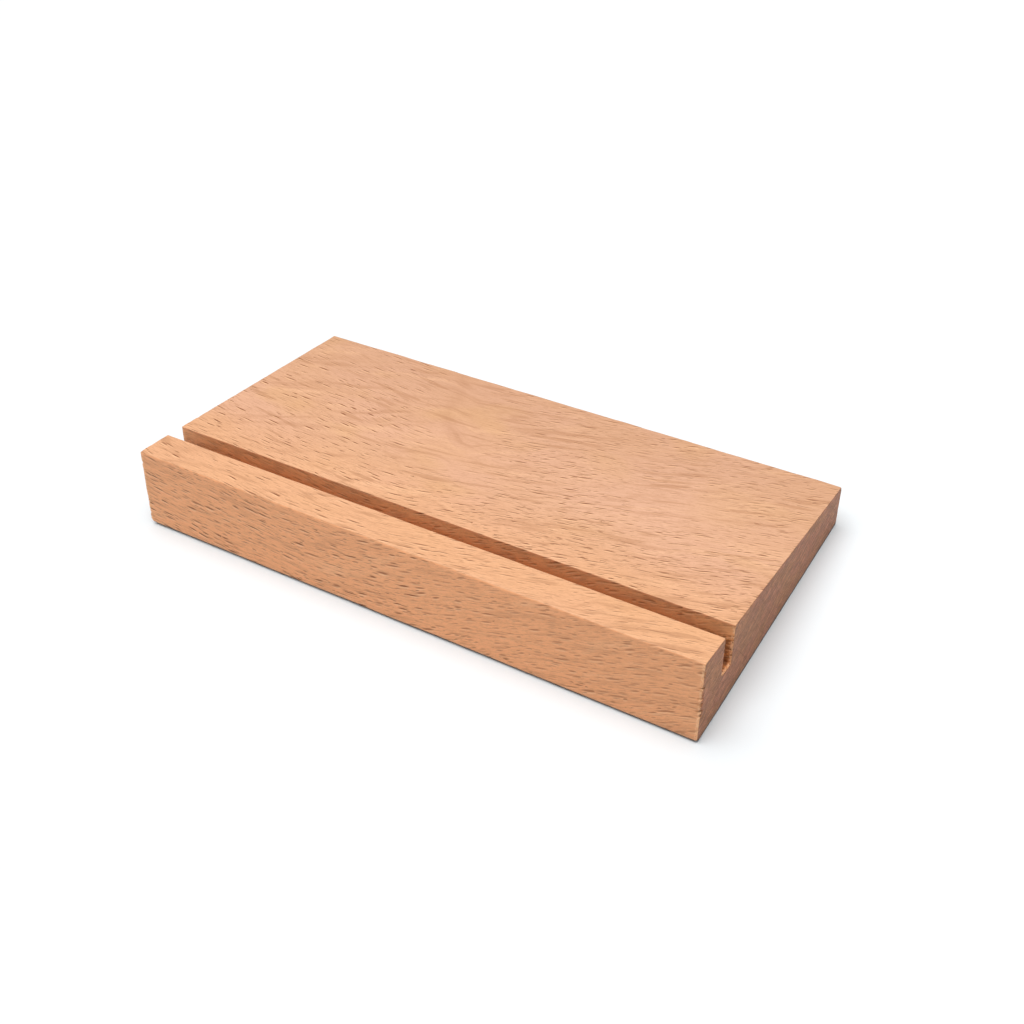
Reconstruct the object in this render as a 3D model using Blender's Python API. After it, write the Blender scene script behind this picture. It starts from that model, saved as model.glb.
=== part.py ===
"""Beech phone stand: one wedge-shaped block with a straight slot along its front.

The block is a rectangular board whose underside is planed to a taper, thick at the
front and half as thick at the rear. The slot is cut square to the board's top before
the taper is planed, so on the table the top slopes down to the rear and a phone in
the slot leans back by the same angle.

World frame: +X along the length, +Y to the rear, +Z up. The origin is under the
middle of the block's bounding box, on the surface it stands on.
Board frame, used while modelling: the top is the plane z = 0, the front face is the
plane y = 0 and the length is centred on x = 0.
"""

import math

import bmesh
import bpy
from mathutils import Euler, Vector

# Driving dimensions, in metres
LENGTH = 0.250
TOP_DEPTH = 0.127          # front to rear, measured along the sloping top
FRONT_THICKNESS = 0.035    # the board's full thickness
REAR_THICKNESS = 0.0175    # what the taper leaves at the rear
LEDGE_WIDTH = 0.016        # wood in front of the slot
SLOT_WIDTH = 0.008
SLOT_DEPTH = 0.017         # square to the top
ARRIS_RADIUS = 0.0005      # sanding takes the sharpness off every outer edge
ARRIS_SEGMENTS = 2

# Derived
SLOPE = math.atan2(FRONT_THICKNESS - REAR_THICKNESS, TOP_DEPTH)
OVERCUT = 0.005            # how far a cutter runs past the wood

# Oiled beech
BEECH_COLOUR = (0.68, 0.40, 0.23, 1.0)
BEECH_ROUGHNESS = 0.55

NODE_NAME = "stand_block"


def clear_scene():
    for obj in list(bpy.data.objects):
        bpy.data.objects.remove(obj, do_unlink=True)


def add_box(name, low, high):
    """A box between two corners, as a mesh object in the scene."""
    mesh = bpy.data.meshes.new(name)
    shape = bmesh.new()
    bmesh.ops.create_cube(shape, size=1.0)
    low, high = Vector(low), Vector(high)
    for vert in shape.verts:
        vert.co = Vector(
            (low[i] + high[i]) / 2 + vert.co[i] * (high[i] - low[i]) for i in range(3)
        )
    shape.to_mesh(mesh)
    shape.free()
    obj = bpy.data.objects.new(name, mesh)
    bpy.context.scene.collection.objects.link(obj)
    return obj


def plane_underside(board):
    """Plane the underside down to the taper that the finished block stands on."""
    shape = bmesh.new()
    shape.from_mesh(board.data)
    down_once_standing = Vector((0.0, math.sin(SLOPE), -math.cos(SLOPE)))
    cut = bmesh.ops.bisect_plane(
        shape,
        geom=shape.verts[:] + shape.edges[:] + shape.faces[:],
        plane_co=(0.0, 0.0, -FRONT_THICKNESS),
        plane_no=down_once_standing,
        clear_outer=True,
    )
    rim = [item for item in cut["geom_cut"] if isinstance(item, bmesh.types.BMEdge)]
    bmesh.ops.edgeloop_fill(shape, edges=rim)
    bmesh.ops.remove_doubles(shape, verts=shape.verts[:], dist=1e-6)
    bmesh.ops.recalc_face_normals(shape, faces=shape.faces[:])
    shape.to_mesh(board.data)
    shape.free()


def cut_slot(board):
    """Cut the slot along the whole length, open at both ends, with a Boolean."""
    half = LENGTH / 2 + OVERCUT
    cutter = add_box(
        "slot_cutter",
        (-half, LEDGE_WIDTH, -SLOT_DEPTH),
        (half, LEDGE_WIDTH + SLOT_WIDTH, OVERCUT),
    )
    cutter.hide_render = True
    cutter.display_type = "WIRE"
    boolean = board.modifiers.new("slot", "BOOLEAN")
    boolean.operation = "DIFFERENCE"
    boolean.solver = "EXACT"
    boolean.object = cutter
    return cutter


def ease_edges(board):
    bevel = board.modifiers.new("eased_edges", "BEVEL")
    bevel.width = ARRIS_RADIUS
    bevel.segments = ARRIS_SEGMENTS
    bevel.limit_method = "ANGLE"
    bevel.angle_limit = math.radians(40)
    bevel.harden_normals = False


def beech_material():
    material = bpy.data.materials.new("beech")
    material.use_nodes = True
    shader = material.node_tree.nodes["Principled BSDF"]
    shader.inputs["Base Color"].default_value = BEECH_COLOUR
    shader.inputs["Roughness"].default_value = BEECH_ROUGHNESS
    shader.inputs["Metallic"].default_value = 0.0
    material.diffuse_color = BEECH_COLOUR
    return material


def stand_up(objects):
    """Turn the board frame so that the planed underside lies on z = 0, centred in X and Y."""
    turn = Euler((-SLOPE, 0.0, 0.0))
    bottom_front = Vector((0.0, 0.0, -FRONT_THICKNESS))
    bottom_front.rotate(turn)
    top_rear = Vector((0.0, TOP_DEPTH, 0.0))
    top_rear.rotate(turn)
    middle = (bottom_front.y + top_rear.y) / 2
    for obj in objects:
        obj.rotation_euler = turn
        obj.location = (0.0, -middle, -bottom_front.z)


def build_stand_block():
    board = add_box(
        NODE_NAME, (-LENGTH / 2, 0.0, -FRONT_THICKNESS), (LENGTH / 2, TOP_DEPTH, 0.0)
    )
    plane_underside(board)
    cutter = cut_slot(board)
    ease_edges(board)
    board.data.materials.append(beech_material())
    stand_up([board, cutter])


clear_scene()
build_stand_block()
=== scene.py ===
"""Beech phone stand: the finished look of the wedge-shaped block with the slot.

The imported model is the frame. The one piece here, beech_block, replaces the CAD block
with a mesh that has sanded, slightly uneven edges and a procedural beech material.

Row frame, in metres: +X along the length, +Y to the rear, +Z up, the block standing on
z = 0. Board frame: u runs to the rear along the sloping top, w is square to it and
upwards, and both are zero on the top's front edge. The mesh is worked out in metres,
and the material in millimetres.
"""

import math

import bmesh
import bpy
import numpy as np
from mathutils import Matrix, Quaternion, Vector

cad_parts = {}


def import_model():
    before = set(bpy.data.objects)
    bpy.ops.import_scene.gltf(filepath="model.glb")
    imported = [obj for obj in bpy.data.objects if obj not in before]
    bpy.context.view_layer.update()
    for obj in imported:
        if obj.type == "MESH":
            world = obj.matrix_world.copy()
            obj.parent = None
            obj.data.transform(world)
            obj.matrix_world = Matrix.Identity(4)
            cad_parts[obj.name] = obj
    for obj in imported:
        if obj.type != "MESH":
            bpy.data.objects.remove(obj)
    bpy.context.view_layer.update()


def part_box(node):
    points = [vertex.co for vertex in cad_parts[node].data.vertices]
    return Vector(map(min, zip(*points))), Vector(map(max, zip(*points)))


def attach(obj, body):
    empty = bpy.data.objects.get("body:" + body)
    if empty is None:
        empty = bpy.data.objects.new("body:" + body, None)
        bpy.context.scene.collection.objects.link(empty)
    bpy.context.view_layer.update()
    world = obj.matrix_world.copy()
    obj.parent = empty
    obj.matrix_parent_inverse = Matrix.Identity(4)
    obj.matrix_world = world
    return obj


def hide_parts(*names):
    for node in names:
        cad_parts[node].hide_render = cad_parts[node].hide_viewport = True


NODE = "stand_block"
MM = 0.001
SEED = 7  # every random curve or set of chips adds its own number to this one

# The board, as in the CAD, in metres. Its length comes from the frame.
TOP_DEPTH = 0.127
FRONT_THICKNESS = 0.035
REAR_THICKNESS = 0.0175
LEDGE_WIDTH = 0.016
SLOT_WIDTH = 0.008
SLOT_DEPTH = 0.017
SLOT_REAR = LEDGE_WIDTH + SLOT_WIDTH
SLOPE = math.atan2(FRONT_THICKNESS - REAR_THICKNESS, TOP_DEPTH)

# The top's front edge in the row frame
TOP_EDGE_Y = (FRONT_THICKNESS * math.sin(SLOPE) - TOP_DEPTH * math.cos(SLOPE)) / 2
TOP_EDGE_Z = FRONT_THICKNESS * math.cos(SLOPE)

# Mesh density, in metres: between cross-sections, and between the points round each
STATION_STEP = 0.0010
SIDE_STEP = 0.0012
FRONT_STEP = 0.00035
UNDERSIDE_STEP = 4 * SIDE_STEP
FILLET_POINTS = 6
END_RINGS = 6

# The long edges, in order round the cross-section with the wood on the right-hand side
BOTTOM_FRONT, TOP_FRONT, LEDGE_RIM, FLOOR_FRONT, FLOOR_REAR, DECK_RIM, TOP_REAR, BOTTOM_REAR = range(8)

# How far each long edge is rounded on average, in mm
EDGE_RADIUS = {
    BOTTOM_FRONT: 1.90,
    TOP_FRONT: 0.70,
    LEDGE_RIM: 0.35,
    FLOOR_FRONT: 1.30,
    FLOOR_REAR: 0.40,
    DECK_RIM: 0.35,
    TOP_REAR: 0.60,
    BOTTOM_REAR: 0.70,
}

# How unevenly a sanded edge is rounded: (share of the radius, wavelength in metres)
UNEVEN = (0.28, 0.009)
UNEVEN_FINE = (0.16, 0.0031)
UNEVEN_PLANED = (0.1, 0.02)
TOP_FRONT_WEAR = 0.5  # how much rounder that edge is at mid-length than at the ends

# The edges round the end faces: their radius in mm, its unevenness in mm and wavelength in
# metres, and what is added within LOW_REACH metres of the front's lower edge
END_RADIUS = 0.34
END_UNEVEN = (0.10, 0.006)
END_UNEVEN_FINE = (0.05, 0.0017)
END_RADIUS_LOW = 0.7
LOW_REACH = 0.003
END_EDGE = 0.0034  # how much of the length, at each end, such an edge may take, in metres

# Chips beside the front and nicks all round an end face, with the largest of each in mm
FRONT_CHIPS = 14
LARGEST_CHIP_LEFT = 0.8
LARGEST_CHIP_RIGHT = 3.0
NICKS = 70
LARGEST_NICK = 0.55
CHIP_LENGTH = 0.0006  # metres along the edge, and more for each mm that the chip is deep
CHIP_LENGTH_PER_MM = 0.0005
CHIP_REACH = 0.0012  # how far behind the front face its chips fade out, in metres
CHIP_LIP = 9.0  # how steeply a chip starts and how gently it ends
CHIP_TAIL = 1.5

# Knocks on corners, in metres: (end, on the top, radius, u where it is deepest, reach along u).
# The left end is -1.
KNOCKS = (
    (-1, False, 0.0043, 0.0, 0.013),
    (1, False, 0.0009, 0.0, 0.006),
    (1, True, 0.0013, TOP_DEPTH, 0.007),
    (-1, True, 0.0009, 0.0, 0.005),
)


# ---------------------------------------------------------------- small maths


def smoothstep(low, high, value):
    t = np.clip((value - low) / (high - low), 0.0, 1.0)
    return t * t * (3 - 2 * t)


def wavy(positions, wavelength, seed):
    """A smooth random curve between -1 and 1, with bumps about one wavelength long."""
    random = np.random.default_rng(seed)
    start = positions.min()
    count = int(math.ceil((positions.max() - start) / wavelength)) + 2
    heights = random.uniform(-1.0, 1.0, count)
    place = (positions - start) / wavelength
    left = np.floor(place).astype(int)
    t = smoothstep(0.0, 1.0, place - left)
    return heights[left] * (1 - t) + heights[left + 1] * t


def unevenness(positions, size_and_wavelength, seed):
    size, wavelength = size_and_wavelength
    return size * wavy(positions, wavelength, seed)


def board_to_row(u, w):
    """Board frame to the row frame's Y and Z."""
    cos, sin = math.cos(SLOPE), math.sin(SLOPE)
    return cos * u + sin * w + TOP_EDGE_Y, cos * w - sin * u + TOP_EDGE_Z


# ------------------------------------------------------------ the block's mesh


def corners():
    """The cross-section's corners before rounding, in the order of the long edges.

    Each is (u, w, step of the points along the side that follows it).
    """
    return [
        (0.0, -FRONT_THICKNESS, FRONT_STEP),
        (0.0, 0.0, SIDE_STEP),
        (LEDGE_WIDTH, 0.0, SIDE_STEP),
        (LEDGE_WIDTH, -SLOT_DEPTH, SIDE_STEP),
        (SLOT_REAR, -SLOT_DEPTH, SIDE_STEP),
        (SLOT_REAR, 0.0, SIDE_STEP),
        (TOP_DEPTH, 0.0, SIDE_STEP),
        (TOP_DEPTH, -REAR_THICKNESS, UNDERSIDE_STEP),
    ]


def corner_radii(stations):
    """How far each long edge is rounded at each station, in metres, one column an edge."""
    radii = np.empty((len(stations), len(EDGE_RADIUS)))
    for corner, radius in EDGE_RADIUS.items():
        if corner == BOTTOM_FRONT:
            # Taken off in one pass, so it is more even than the sanded edges
            uneven = 1 + unevenness(stations, UNEVEN_PLANED, SEED)
        else:
            uneven = 1 + unevenness(stations, UNEVEN, SEED + corner)
            uneven += unevenness(stations, UNEVEN_FINE, SEED + 20 + corner)
        radii[:, corner] = radius * MM * uneven
    # The ledge's front edge is worn most where hands take hold of it
    middle = 1 - (stations / stations.max()) ** 2
    radii[:, TOP_FRONT] *= 1 + TOP_FRONT_WEAR * middle
    return radii


def fillet(back, ahead):
    """An arc of radius 1 that rounds off a corner, measured from it, and its outward normals.

    back and ahead are the unit vectors from the corner along its two sides.
    """
    turn = math.acos(np.clip(-back @ ahead, -1, 1))
    convex = back[0] * ahead[1] - back[1] * ahead[0] > 0
    centre = (back + ahead) / np.linalg.norm(back + ahead) / math.cos(turn / 2)
    first = back * math.tan(turn / 2) - centre
    angles = np.linspace(0, turn, FILLET_POINTS) * (-1 if convex else 1)
    cos, sin = np.cos(angles), np.sin(angles)
    spoke = np.stack([cos * first[0] - sin * first[1], sin * first[0] + cos * first[1]], 1)
    return centre + spoke, spoke if convex else -spoke


def cross_sections(stations):
    """Points and outward normals of the cross-section at every station, in the board frame."""
    outline = corners()
    place = np.array([corner[:2] for corner in outline])
    sides = np.roll(place, -1, axis=0) - place
    lengths = np.linalg.norm(sides, axis=1)
    ahead = sides / lengths[:, None]
    fillets = [fillet(-ahead[i - 1], ahead[i]) for i in range(len(outline))]
    radii = corner_radii(stations)
    points, normals = [], []
    for i, (shape, outward) in enumerate(fillets):
        arc = place[i] + radii[:, i, None, None] * shape
        points.append(arc)
        normals.append(np.broadcast_to(outward, arc.shape))
        following = (i + 1) % len(outline)
        start = arc[:, -1]
        end = place[following] + radii[:, following, None] * fillets[following][0][0]
        pieces = max(2, round(lengths[i] / outline[i][2]))
        share = (np.arange(1, pieces) / pieces)[None, :, None]
        points.append(start[:, None] * (1 - share) + end[:, None] * share)
        normals.append(np.broadcast_to(outward[-1], points[-1].shape))
    return np.concatenate(points, 1), np.concatenate(normals, 1)


def chips(along, run, count, largest, seed):
    """Depths in mm of small bites out of an edge, at points a distance along it, in metres.

    Each starts abruptly, somewhere in the first run metres, and then fades out.
    """
    random = np.random.default_rng(seed)
    depth = np.zeros_like(along)
    for _ in range(count):
        start = random.uniform(0.0, run)
        size = largest * random.uniform(0.25, 1.0)
        past = (along - start) / (CHIP_LENGTH + CHIP_LENGTH_PER_MM * size)
        fall = np.where(past >= 0, past * -CHIP_TAIL, past * CHIP_LIP)
        depth = np.maximum(depth, size * np.exp(fall))
    return depth


def end_radii(section, right):
    """How far each point of the cross-section is rounded towards an end face, in metres."""
    along = np.concatenate([[0], np.cumsum(np.linalg.norm(np.diff(section, axis=0), axis=1))])
    radius = END_RADIUS + unevenness(along, END_UNEVEN, SEED + 50 + right)
    radius += unevenness(along, END_UNEVEN_FINE, SEED + 60 + right)
    largest = LARGEST_CHIP_RIGHT if right else LARGEST_CHIP_LEFT
    chipped = chips(along, FRONT_THICKNESS, FRONT_CHIPS, largest, SEED + 70 + right)
    nicked = chips(along, along[-1], NICKS, LARGEST_NICK, SEED + 80 + right)
    on_front = 1 - smoothstep(0.0, CHIP_REACH, section[:, 0])
    low = 1 - smoothstep(-FRONT_THICKNESS, -FRONT_THICKNESS + LOW_REACH, section[:, 1])
    radius += on_front * chipped + nicked + END_RADIUS_LOW * low
    # A little less than END_EDGE, so that the rings stay clear of the last full cross-section
    return np.minimum(radius * MM, 0.95 * END_EDGE)


def end_rings(section, normals, half, right):
    """The cross-section at one end rounded over into its end face: x and (u, w) of each ring."""
    radius = end_radii(section, right)
    rings_x, rings_uw = [], []
    for turn in np.linspace(0, math.pi / 2, END_RINGS):
        out = half - radius * (1 - math.sin(turn))
        rings_x.append(out if right else -out)
        shrink = radius * (1 - math.cos(turn))
        rings_uw.append(section - normals * shrink[:, None])
    return np.array(rings_x), np.array(rings_uw)


def knock_corner(across, up, radius, fade):
    """How a knock moves points that are across and up from the two edges of a corner."""
    size = radius * np.clip(fade, 1e-3, 1)
    reach = np.hypot(size - across, size - up)
    knocked = (across < size) & (up < size) & (reach > size)
    share = np.where(knocked, size / np.maximum(reach, 1e-9), 1.0)
    new_across = np.where(knocked, size - (size - across) * share, across)
    new_up = np.where(knocked, size - (size - up) * share, up)
    return new_across - across, new_up - up


def knock_corners(points, u, half):
    """The knocks that the block has taken: its front left foot most of all."""
    for end, on_top, radius, deepest, reach in KNOCKS:
        fade = 1 - np.abs(u - deepest) / reach
        across = half - end * points[..., 0]
        up = points[..., 2].copy()
        if on_top:
            up = board_to_row(u, 0.0)[1] - up
        d_across, d_up = knock_corner(across, up, radius, fade)
        points[..., 0] -= end * d_across
        points[..., 2] += -d_up if on_top else d_up


def block_object(points):
    """A closed mesh from rings of points: a skin of quads, and a face over each end."""
    rings, around = points.shape[:2]
    ring = np.arange(rings - 1)[:, None] * around
    here = np.arange(around)[None, :]
    following = (here + 1) % around
    quads = np.stack(
        [ring + here, ring + following, ring + around + following, ring + around + here], -1
    )
    faces = quads.reshape(-1, 4).tolist()
    faces.append(list(range(around))[::-1])
    faces.append(list(range((rings - 1) * around, rings * around)))
    mesh = bpy.data.meshes.new("beech_block")
    mesh.from_pydata(points.reshape(-1, 3).tolist(), [], faces)
    shape = bmesh.new()
    shape.from_mesh(mesh)
    bmesh.ops.recalc_face_normals(shape, faces=shape.faces[:])
    shape.to_mesh(mesh)
    shape.free()
    mesh.shade_smooth()
    block = bpy.data.objects.new("beech_block", mesh)
    bpy.context.scene.collection.objects.link(block)
    weighted = block.modifiers.new("flat_faces_stay_flat", "WEIGHTED_NORMAL")
    weighted.mode = "FACE_AREA"
    weighted.weight = 100
    return block


def make_block(length):
    half = length / 2
    reach = half - END_EDGE
    stations = np.linspace(-reach, reach, round(2 * reach / STATION_STEP) + 1)
    sections, normals = cross_sections(stations)
    body_x = np.broadcast_to(stations[:, None], sections.shape[:2])
    left_x, left_uw = end_rings(sections[0], normals[0], half, right=False)
    right_x, right_uw = end_rings(sections[-1], normals[-1], half, right=True)
    x = np.concatenate([left_x[::-1], body_x, right_x])
    uw = np.concatenate([left_uw[::-1], sections, right_uw])
    y, z = board_to_row(uw[..., 0], uw[..., 1])
    points = np.stack([x, y, z], -1)
    knock_corners(points, uw[..., 0], half)
    return block_object(points)


# --------------------------------------------------------- node tree shorthand


class Wire:
    """One output socket of a node. Arithmetic on wires adds Math nodes to their tree."""

    def __init__(self, tree, socket):
        self.tree = tree
        self.socket = socket

    def math(self, operation, *others):
        node = self.tree.nodes.new("ShaderNodeMath")
        node.operation = operation
        for place, value in enumerate((self, *others)):
            plug(self.tree, node.inputs[place], value)
        return Wire(self.tree, node.outputs[0])

    def __add__(self, other):
        return self.math("ADD", other)

    def __sub__(self, other):
        return self.math("SUBTRACT", other)

    def __mul__(self, other):
        return self.math("MULTIPLY", other)

    def __truediv__(self, other):
        return self.math("DIVIDE", other)

    def ramp(self, low, high, to_low=0.0, to_high=1.0):
        """A smooth step: to_low at low and beyond it, to_high at high. low may be above high."""
        node = self.tree.nodes.new("ShaderNodeMapRange")
        node.interpolation_type = "SMOOTHSTEP"
        plug(self.tree, node.inputs["Value"], self)
        if low > high:
            low, high, to_low, to_high = high, low, to_high, to_low
        for name, value in (("From Min", low), ("From Max", high), ("To Min", to_low), ("To Max", to_high)):
            node.inputs[name].default_value = value
        return Wire(self.tree, node.outputs["Result"])


def plug(tree, socket, value):
    """Link a wire, or set a plain value."""
    if isinstance(value, Wire):
        tree.links.new(value.socket, socket)
    else:
        socket.default_value = value


def vector(x, y, z):
    node = x.tree.nodes.new("ShaderNodeCombineXYZ")
    for place, value in enumerate((x, y, z)):
        plug(x.tree, node.inputs[place], value)
    return Wire(x.tree, node.outputs[0])


def split(wire):
    node = wire.tree.nodes.new("ShaderNodeSeparateXYZ")
    plug(wire.tree, node.inputs[0], wire)
    return [Wire(wire.tree, out) for out in node.outputs]


def noise(place, sizes, shift=(0.0, 0.0, 0.0), detail=2.0, roughness=0.5):
    """Fractal noise, about 0.5 on average.

    place is three wires, sizes is how long a bump is along each of them, and shift moves
    the pattern, in bumps, so that no two noises are alike.
    """
    tree = place[0].tree
    steps = []
    for axis, size, moved in zip(place, sizes, shift):
        step = axis / size
        steps.append(step + moved if moved else step)
    node = tree.nodes.new("ShaderNodeTexNoise")
    plug(tree, node.inputs["Vector"], vector(*steps))
    node.inputs["Scale"].default_value = 1.0
    node.inputs["Detail"].default_value = detail
    node.inputs["Roughness"].default_value = roughness
    return Wire(tree, node.outputs["Fac"])


def bell(value, middle, width):
    """1 at the middle, falling smoothly to nothing about two widths away."""
    off = (value - middle) / width
    return (off * off * -1.0).math("EXPONENT")


def less(mask, amount):
    """1, less the amount where the mask is 1."""
    return mask * -amount + 1.0


def mix(factor, low, high):
    """A colour between two, each a wire or a tuple."""
    node = factor.tree.nodes.new("ShaderNodeMix")
    node.data_type = "RGBA"
    plug(factor.tree, node.inputs[0], factor)
    for socket, value in ((node.inputs[6], low), (node.inputs[7], high)):
        plug(factor.tree, socket, value if isinstance(value, Wire) else (*value, 1.0))
    return Wire(factor.tree, node.outputs[2])


def paint(colour, *coats):
    """A colour under coats, the last on top: (thickness from 0 to 1, the coat's colour) each."""
    for thickness, coat in coats:
        colour = mix(thickness, colour, coat)
    return colour


# ------------------------------------------------------------ beech material

# Colours of the wood, linear, and of the highlights, light and shade painted on it
PALE = (0.700, 0.388, 0.228)
PINK = (0.715, 0.400, 0.256)
ROSY = (0.740, 0.425, 0.280)
STRAW = (0.700, 0.395, 0.195)
ORANGE = (0.800, 0.420, 0.218)
RUSSET = (0.900, 0.404, 0.188)
TAN = (0.440, 0.205, 0.100)
ASH = (0.560, 0.310, 0.190)
FLECK = (0.230, 0.070, 0.022)
# Painted highlight on the fleck lips and the end edges, and also the pale figure's colour
HIGHLIGHT_AND_PALE_FIGURE = (0.960, 0.580, 0.330)
# Painted light and painted shade for the slot's walls and floor
SLOT_PAINTED_LIGHT = (0.950, 0.450, 0.190)
SLOT_PAINTED_SHADE = (0.590, 0.190, 0.045)
END_PINK = (0.555, 0.211, 0.108)
END_BROWN = (0.513, 0.211, 0.086)
END_DARK = (0.240, 0.095, 0.040)
END_RED = (0.450, 0.150, 0.075)
# Scorching by the cutter, also used as painted shade on the slot's floor
SCORCH_AND_SHADE = (0.160, 0.055, 0.018)
# Painted shade, bluish dark, for the contact shadow along the bottom edges
CONTACT_SHADE = (0.070, 0.066, 0.070)

# The grain runs up to the right over most of the board and slightly down at its left end
GRAIN_MEAN_SLOPE = 0.095
GRAIN_BEND = 0.215
GRAIN_BEND_X = -26.0
GRAIN_BEND_WIDTH = 26.0
GRAIN_WANDER = 9.0
GRAIN_SHIVER = 0.9

# The broad figure climbs to the right, and plunges where it crosses a swirl in the board
FIGURE_SLOPE = 0.40
FIGURE_SWAY = 22.0
SWIRL_X = -45.0
SWIRL_U = 121.0
SWIRL_LEAN = 0.50
SWIRL_HALF_WIDTH = 9.0
SWIRL_DROP = 12.0

# The curl beside the swirl bows out at CURL_BOW_U and fades out towards the slot
CURL_FROM_SWIRL = -3.0
CURL_HALF_WIDTH = 3.4
CURL_BOW = 4.0
CURL_BOW_U = 95.0

# One short mineral streak
MINERAL_X = 57.0
MINERAL_U = 79.0
MINERAL_SLOPE = 0.30
MINERAL_HALF_LENGTH = 6.5
MINERAL_HALF_WIDTH = 1.1

RING_TILT = math.radians(21)  # the growth rings rise towards the rear by this, in the board frame

# Ray flecks, in mm: (length and spacing of the cell that holds one, its thickness, pattern shift)
LONG_FLECKS = (9.5, 1.9, 0.46, 0.0)
SHORT_FLECKS = (5.4, 1.35, 0.40, 13.0)
FINE_FLECKS = (7.0, 0.9, 0.24, 31.0)
RAY_DEPTH = 34.0  # how far a ray runs into the wood, in mm
FRONT_BULK = 0.22  # how much thicker the flecks are on the front
FRONT_DENSITY = 0.66
LIP_OFFSET = 1.55  # from a dent's middle to its lip's, in half thicknesses
FLECK_DEPTH = 0.12


class Board:
    """What the parts of the material share, as wires. All lengths are in mm.

    x is along the length from its middle, u and w are the board frame's, height is above
    the ground, and from_end is the distance from the nearer end. on_end, on_side, on_front
    and in_slot are 1 there and 0 elsewhere. fibre_u is the u that the fibre here has at
    mid-length, across and deep are square to the grain, and sway is the figure's waver.
    """

    def __init__(self, tree, length):
        self.tree = tree
        self.set_places(length)
        self.set_faces()
        self.set_grain()

    def set_places(self, length):
        texture = self.tree.nodes.new("ShaderNodeTexCoord")
        x, y, z = split(Wire(self.tree, texture.outputs["Object"]))
        cos, sin = math.cos(SLOPE), math.sin(SLOPE)
        self.x = x / MM
        self.height = z / MM
        y = y / MM - TOP_EDGE_Y / MM
        z = self.height - TOP_EDGE_Z / MM
        self.u = y * cos - z * sin
        self.w = y * sin + z * cos
        self.place = (self.x, self.u, self.w)
        self.from_end = self.x.math("ABSOLUTE") * -1.0 + length / 2 / MM

    def set_faces(self):
        geometry = self.tree.nodes.new("ShaderNodeNewGeometry")
        normal_x, normal_y, _ = split(Wire(self.tree, geometry.outputs["Normal"]))
        # The limits fall on the rounded edges, so one look blends into the next there
        self.on_end = normal_x.math("ABSOLUTE").ramp(0.55, 0.85)
        self.on_side = less(self.on_end, 1.0)
        self.on_front = normal_y.ramp(-0.45, -0.85)
        # A little wider than the slot, to take in its walls, and from just below its rims
        front, rear = LEDGE_WIDTH / MM, SLOT_REAR / MM
        below_top = self.w.ramp(-0.5, -1.5)
        past_front = self.u.ramp(front - 0.8, front - 0.2)
        before_rear = self.u.ramp(rear + 0.8, rear + 0.2)
        self.in_slot = below_top * past_front * before_rear * self.on_side

    def set_grain(self):
        x, u, w = self.place
        wander = (noise(self.place, (70.0, 32.0, 32.0), detail=1.5) - 0.5) * GRAIN_WANDER
        shiver = (noise(self.place, (8.0, 4.0, 4.0), detail=1.0) - 0.5) * GRAIN_SHIVER
        bend = x - GRAIN_BEND_X
        bend = (bend * bend + GRAIN_BEND_WIDTH**2).math("SQRT") * GRAIN_BEND
        self.fibre_u = u - (x * GRAIN_MEAN_SLOPE + bend + wander + shiver)
        # Turned by 45 degrees about x, so that the top and the front both cut the grain
        diagonal = math.sqrt(0.5)
        self.across = self.fibre_u * diagonal + w * diagonal
        self.deep = w * diagonal - u * diagonal
        self.grain = (x, self.across, self.deep)
        waver = noise(self.place, (42.0, 26.0, 26.0), shift=(0.0, 0.0, 5.0), detail=2.0)
        self.sway = (waver - 0.5) * FIGURE_SWAY


def swirl_distance(board):
    """How far x is past the leaning line of the swirl, in mm."""
    return board.x - SWIRL_X + (board.u - SWIRL_U) * SWIRL_LEAN


def figure(board):
    """The broad figure's dark streaks and pale gleams, which climb to the right in patches."""
    x, u, w = board.place
    plunge = swirl_distance(board).ramp(-SWIRL_HALF_WIDTH, SWIRL_HALF_WIDTH) * SWIRL_DROP
    climb = u - (x * FIGURE_SLOPE - plunge) - board.sway + w
    streaks = noise((x, climb, w), (75.0, 4.6, 40.0), detail=3.0, roughness=0.55)
    patch = noise(board.place, (26.0, 17.0, 17.0), shift=(0.0, 2.0, 0.0), detail=1.0)
    patch = patch.ramp(0.38, 0.60, 0.15, 1.0)
    return streaks.ramp(0.50, 0.70) * patch, streaks.ramp(0.47, 0.30) * patch


def dark_lines(board):
    """A few darker lines along the grain."""
    lines = noise((board.x, board.across + 3.0, board.deep), (26.0, 2.4, 20.0), detail=1.0)
    return lines.ramp(0.60, 0.70)


def curl(board):
    """The dark curl along the swirl's left side."""
    line = swirl_distance(board) + bell(board.u, CURL_BOW_U, 10.0) * CURL_BOW + board.sway * 0.12
    return bell(line, CURL_FROM_SWIRL, CURL_HALF_WIDTH) * board.u.ramp(64.0, 84.0)


def mineral_streak(board):
    line = board.u - board.x * MINERAL_SLOPE - board.sway * 0.05
    return bell(board.x, MINERAL_X, MINERAL_HALF_LENGTH) * bell(line, MINERAL_U, MINERAL_HALF_WIDTH)


def ray_density(board):
    """How clearly the rays show: most on the front, the ledge, and the top beside the slot.

    They are sparse along the swirl and at the right of the top's rear half.
    """
    x, u, w = board.place
    smooth_band = bell(swirl_distance(board), 0.0, 17.0) * u.ramp(38.0, 62.0)
    smooth_rear = bell(x, 78.0, 34.0) * bell(u, 82.0, 11.0)
    crowd = noise((x, board.fibre_u, w), (30.0, 11.0, 11.0), detail=1.5)
    on_deck = crowd.ramp(0.24, 0.46, 0.4, 1.0) * u.ramp(60.0, 120.0, 1.0, 0.85) * u.ramp(14.0, 19.0)
    on_deck = on_deck * less(smooth_band, 0.9) * less(smooth_rear, 0.85)
    on_ledge = crowd.ramp(0.30, 0.54, 0.5, 1.0) * u.ramp(19.0, 14.0) * x.ramp(55.0, 5.0, 0.65, 1.0)
    dense = (on_deck + on_ledge) * less(board.in_slot, 0.45)
    return dense.math("MAXIMUM", board.on_front * FRONT_DENSITY)


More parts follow.
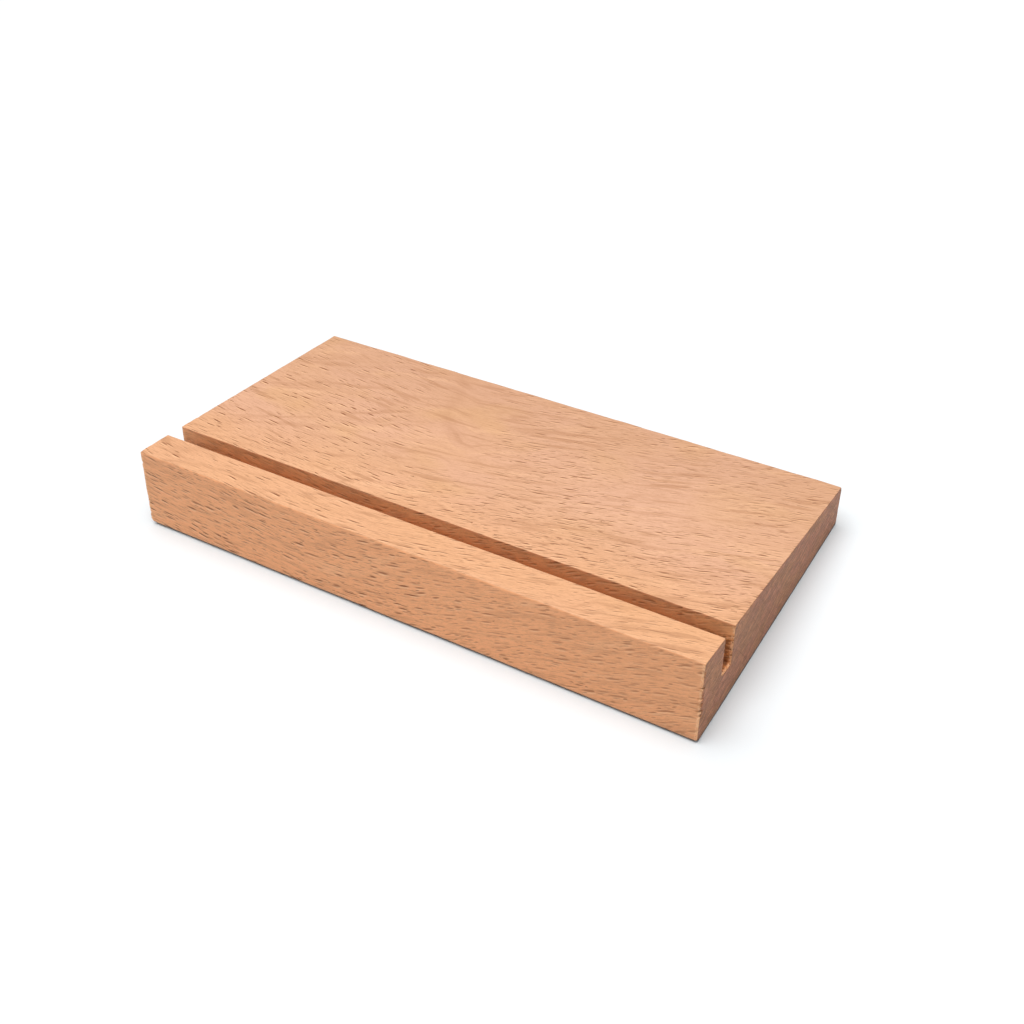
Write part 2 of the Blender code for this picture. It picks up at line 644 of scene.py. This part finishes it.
def flecks(board, length, spacing, thickness, offset):
    """Rays cut across: short lens-shaped dents along the grain, and below each a raised lip painted pale as
    a highlight.

    length and spacing are the size of the cell that holds one, and thickness is the line's
    own, which swells on the front. Rays run deep into the wood, so they show on end grain
    as well.
    """
    bulk = board.on_front * FRONT_BULK + 1.0
    place = vector(
        board.x / length + offset, board.across / spacing + 1.7 * offset, board.deep / RAY_DEPTH
    )
    cells = board.tree.nodes.new("ShaderNodeTexVoronoi")
    cells.feature = "F1"
    cells.voronoi_dimensions = "3D"
    cells.inputs["Scale"].default_value = 1.0
    cells.inputs["Randomness"].default_value = 1.0
    plug(board.tree, cells.inputs["Vector"], place)
    here = split(place)
    middle = split(Wire(board.tree, cells.outputs["Position"]))
    chance = split(Wire(board.tree, cells.outputs["Color"]))
    # Each cell draws its own fleck's length, thickness and strength
    along = (here[0] - middle[0]) / (chance[0] * 0.26 + 0.18)
    thin = (here[1] - middle[1]) / (chance[1] * 0.5 + 0.75) * (2 * spacing / thickness) / bulk
    present = chance[2].ramp(0.15, 0.95, 0.12, 1.0)
    # Distances from the middles of the two lenses, about 1 at their rims
    below = thin + LIP_OFFSET
    dent = (along * along + thin * thin).math("SQRT").ramp(1.25, 0.35) * present
    lit_lip = (along * along + below * below).math("SQRT").ramp(1.20, 0.40) * present
    return dent, lit_lip


def all_flecks(board):
    """The dents and the lips, with their painted highlight, of long, short and fine flecks together."""
    dense = ray_density(board)
    short = board.x.ramp(-30.0, 25.0, 0.25, 1.0).math("MAXIMUM", board.on_front * 0.8) * 0.8
    layers = (
        (LONG_FLECKS, dense, dense),
        (SHORT_FLECKS, short * dense, short * dense),
        (FINE_FLECKS, dense * 0.45 + 0.12, dense * 0.35 + 0.10),
    )
    dents, lit_lips = [], []
    for sizes, dent_share, lit_lip_share in layers:
        dent, lit_lip = flecks(board, *sizes)
        dents.append(dent * dent_share)
        lit_lips.append(lit_lip * lit_lip_share)
    dent = dents[0].math("MAXIMUM", dents[1]).math("MAXIMUM", dents[2])
    lit_lip = lit_lips[0].math("MAXIMUM", lit_lips[1]).math("MAXIMUM", lit_lips[2])
    return dent, lit_lip


def wood_tint(board):
    """The broad tints: greyer at the rear, orange towards the slot, russet on the front."""
    x, u, _ = board.place
    mottle = noise(board.place, (48.0, 30.0, 30.0), detail=2.0)
    cloud = noise(board.place, (36.0, 26.0, 26.0), shift=(4.0, 9.0, 0.0), detail=1.0)
    pinker = bell(x, 62.0, 52.0) * bell(u, 76.0, 28.0)
    return paint(
        PALE,
        (mottle.ramp(0.36, 0.64), PINK),
        (cloud.ramp(0.52, 0.72, 0.0, 0.6), STRAW),
        (pinker * 0.75, ROSY),
        (u.ramp(60.0, 126.0, 0.0, 0.42), ASH),
        (u.ramp(60.0, 12.0, 0.0, 0.75), ORANGE),
        (board.on_front * 0.9, RUSSET),
    )


def slot_light_and_shade(board, colour):
    """Painted light and shade in the slot: bright orange near its rims, darkening further down, with faint
    smudges.
    """
    smudges = noise(board.place, (7.0, 5.0, 3.5), detail=1.0).ramp(0.50, 0.68)
    # Painted light near the slot's rims, turning to painted shade further down
    lit_to_shaded = mix(board.w.ramp(-2.5, -9.0), SLOT_PAINTED_LIGHT, SLOT_PAINTED_SHADE)
    return paint(colour, (board.in_slot * 0.85, lit_to_shaded), (smudges * board.in_slot * 0.35, TAN))


def grain_marks(board, colour, fibre):
    """The figure, the dark lines and the fibres, which the ends don't show, and a front that darkens
    towards its right end.
    """
    streak, gleam = figure(board)
    plainer = less(board.on_front, 0.5)
    marks = curl(board) * 0.19 + mineral_streak(board) * 0.45
    speck = noise(board.grain, (1.3, 0.50, 0.8), detail=2.0, roughness=0.6)
    return paint(
        colour,
        (streak * plainer * board.on_side * 0.46, TAN),
        (gleam * 0.25 * board.on_side, HIGHLIGHT_AND_PALE_FIGURE),
        (dark_lines(board) * plainer * board.on_side * 0.45, TAN),
        (marks * board.on_side, TAN),
        # The front is a little darker towards its right end
        (board.on_front * board.x.ramp(40.0, 115.0, 0.0, 0.10), TAN),
        (fibre.ramp(0.42, 0.72, 0.0, 0.30) * board.on_side, TAN),
        (speck.ramp(0.48, 0.75, 0.0, 0.28) * board.on_side, TAN),
    )


def end_grain(board):
    """The end faces: growth rings, dark dashes along them, pores, and a redder lower part."""
    x, u, w = board.place
    ring = w * math.cos(RING_TILT) - u * math.sin(RING_TILT) + board.sway * 0.3
    rings = noise((x, u, ring), (260.0, 120.0, 1.5), detail=2.5, roughness=0.6)
    dashes = noise((x, u + w, ring + u * 0.05), (3.0, 3.8, 0.65), detail=2.0, roughness=0.6)
    patch = noise(board.place, (9.0, 13.0, 9.0), detail=1.5)
    pores = noise(board.place, (3.0, 0.9, 0.6), detail=1.0)
    reddish = noise(board.place, (4.0, 5.0, 3.0), shift=(0.0, 3.0, 0.0)).ramp(0.60, 0.72)
    return paint(
        END_PINK,
        (patch.ramp(0.40, 0.60), END_BROWN),
        (rings.ramp(0.38, 0.62) * 0.45, END_DARK),
        (dashes.ramp(0.47, 0.58, 0.0, 0.58), END_DARK),
        (dashes.ramp(0.45, 0.33, 0.0, 0.20), PALE),
        (pores.ramp(0.55, 0.70, 0.0, 0.45), END_DARK),
        (reddish * w.ramp(-12.0, -30.0) * 0.6, END_RED),
    )


def cutter_marks_and_painted_light(board, colour):
    """Scorching by the cutter in the slot near both ends, painted shade as well on the slot's floor there,
    and a painted highlight along the edges at the very end.
    """
    w, from_end, in_slot = board.w, board.from_end, board.in_slot
    scorch = noise(board.place, (2.2, 1.5, 1.4), detail=2.0).ramp(0.40, 0.58)
    on_walls = scorch * w.ramp(-4.0, -8.0) * from_end.ramp(21.0, 6.0) * in_slot
    # Scorching and painted shade on the slot's floor near each end, but not on its last mm
    floor_scorch_and_shade = w.ramp(-14.5, -16.0) * from_end.ramp(25.0, 9.0) * from_end.ramp(1.0, 1.8) * in_slot
    # Painted highlight along the very end's edges in the slot and on the front, broken up by noise
    highlight_breakup = noise(board.place, (0.8, 0.7, 0.9), shift=(0.0, 0.0, 7.0), detail=1.0).ramp(0.35, 0.60)
    end_edge_highlight = highlight_breakup * from_end.ramp(1.4, 0.7) * w.ramp(-0.2, -1.0) * board.u.ramp(60.0, 30.0)
    return paint(
        colour,
        (on_walls * 0.75, SCORCH_AND_SHADE),
        (floor_scorch_and_shade * 0.62, SCORCH_AND_SHADE),
        (end_edge_highlight * board.on_side * 0.6, HIGHLIGHT_AND_PALE_FIGURE),
    )


def beech_material(length):
    material = bpy.data.materials.new("beech")
    material.use_nodes = True
    tree = material.node_tree
    shader = tree.nodes["Principled BSDF"]
    board = Board(tree, length)
    fibre = noise(board.grain, (13.0, 0.40, 1.2), detail=3.0, roughness=0.7)
    dent, lit_lip = all_flecks(board)

    colour = slot_light_and_shade(board, wood_tint(board))
    colour = grain_marks(board, colour, fibre)
    colour = paint(
        colour,
        (board.on_end, end_grain(board)),
        # Painted highlight: each fleck's lip is painted pale, on the sides only
        (lit_lip * board.on_side * 0.60, HIGHLIGHT_AND_PALE_FIGURE),
        (dent * less(board.on_end, 0.7) * 0.95, FLECK),
    )
    colour = cutter_marks_and_painted_light(board, colour)
    # Painted shade: the bottom edges are darkened as a contact shadow where the block meets the ground
    colour = paint(colour, (board.height.ramp(1.9, 0.7) * 0.85, CONTACT_SHADE))
    plug(tree, shader.inputs["Base Color"], colour)

    plug(tree, shader.inputs["Roughness"], fibre.ramp(0.2, 0.8, 0.46, 0.62))
    shader.inputs["IOR"].default_value = 1.42
    shader.inputs["Specular IOR Level"].default_value = 0.35

    bump = tree.nodes.new("ShaderNodeBump")
    bump.inputs["Strength"].default_value = 0.7
    bump.inputs["Distance"].default_value = FLECK_DEPTH * MM
    plug(tree, bump.inputs["Height"], fibre * 0.35 + lit_lip * 0.4 - dent)
    tree.links.new(bump.outputs["Normal"], shader.inputs["Normal"])
    return material


# ----------------------------------------------------------- floor and light

FLOOR_HALF_SIZE = 30.0
FLOOR_COLOUR = (0.765, 0.795, 0.812, 1.0)
WHITE = (1.0, 1.0, 1.0, 1.0)

SUN_DIRECTION = (-0.07, -0.055, 0.95)  # from the block towards the light
SUN_STRENGTH = 3.74
SUN_WIDTH = 64  # degrees across, for a soft shadow
ROOM_STRENGTH = 0.13
BACKDROP_STRENGTH = 1.0


def pale_floor():
    mesh = bpy.data.meshes.new("floor")
    size = FLOOR_HALF_SIZE
    rim = [(-size, -size, 0), (size, -size, 0), (size, size, 0), (-size, size, 0)]
    mesh.from_pydata(rim, [], [(0, 1, 2, 3)])
    floor = bpy.data.objects.new("floor", mesh)
    bpy.context.scene.collection.objects.link(floor)
    material = bpy.data.materials.new("paper")
    material.use_nodes = True
    shader = material.node_tree.nodes["Principled BSDF"]
    shader.inputs["Base Color"].default_value = FLOOR_COLOUR
    shader.inputs["Roughness"].default_value = 1.0
    shader.inputs["Specular IOR Level"].default_value = 0.0
    mesh.materials.append(material)


def softbox():
    """One wide soft light, nearly overhead, that doesn't fall off."""
    data = bpy.data.lights.new("softbox", "SUN")
    data.energy = SUN_STRENGTH
    data.angle = math.radians(SUN_WIDTH)
    sun = bpy.data.objects.new("softbox", data)
    sun.rotation_mode = "QUATERNION"
    sun.rotation_quaternion = (-Vector(SUN_DIRECTION)).to_track_quat("-Z", "Y")
    bpy.context.scene.collection.objects.link(sun)


def white_room():
    """A dim white room. Where the camera sees past the floor, it is as pale as the floor."""
    world = bpy.data.worlds.new("studio")
    bpy.context.scene.world = world
    world.use_nodes = True
    tree = world.node_tree
    room = tree.nodes["Background"]
    room.inputs["Color"].default_value = WHITE
    room.inputs["Strength"].default_value = ROOM_STRENGTH
    backdrop = tree.nodes.new("ShaderNodeBackground")
    backdrop.inputs["Color"].default_value = WHITE
    backdrop.inputs["Strength"].default_value = BACKDROP_STRENGTH
    either = tree.nodes.new("ShaderNodeMixShader")
    seen = tree.nodes.new("ShaderNodeLightPath")
    tree.links.new(seen.outputs["Is Camera Ray"], either.inputs[0])
    tree.links.new(room.outputs[0], either.inputs[1])
    tree.links.new(backdrop.outputs[0], either.inputs[2])
    tree.links.new(either.outputs[0], tree.nodes["World Output"].inputs["Surface"])


# ------------------------------------------------------------------- camera

CAMERA_AZIMUTH = 34.41  # degrees, from straight in front towards the right
CAMERA_ELEVATION = 39.97
CAMERA_ROLL = -4.66
CAMERA_DISTANCE = 0.5451
CAMERA_TARGET = (0.0059, 0.0101, 0.0)
CAMERA_LENS = 46.52
SENSOR = 36.0


def three_quarter_camera():
    data = bpy.data.cameras.new("camera")
    data.sensor_width = SENSOR
    data.lens = CAMERA_LENS
    data.clip_start = 0.01
    data.clip_end = 100.0
    camera = bpy.data.objects.new("camera", data)
    azimuth, elevation = math.radians(CAMERA_AZIMUTH), math.radians(CAMERA_ELEVATION)
    back_x = math.sin(azimuth) * math.cos(elevation)
    back_y = -math.cos(azimuth) * math.cos(elevation)
    back = Vector((back_x, back_y, math.sin(elevation)))
    camera.location = Vector(CAMERA_TARGET) + back * CAMERA_DISTANCE
    camera.rotation_mode = "QUATERNION"
    level = (-back).to_track_quat("-Z", "Y")
    roll = Quaternion((0.0, 0.0, 1.0), math.radians(CAMERA_ROLL))
    camera.rotation_quaternion = level @ roll
    bpy.context.scene.collection.objects.link(camera)
    bpy.context.scene.camera = camera


# --------------------------------------------------------------------- main


def main():
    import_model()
    low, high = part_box(NODE)
    length = high.x - low.x

    block = make_block(length)
    block.data.materials.append(beech_material(length))
    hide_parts(NODE)
    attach(block, "root")

    pale_floor()
    softbox()
    white_room()
    three_quarter_camera()
    bpy.context.scene.view_settings.view_transform = "Standard"


main()
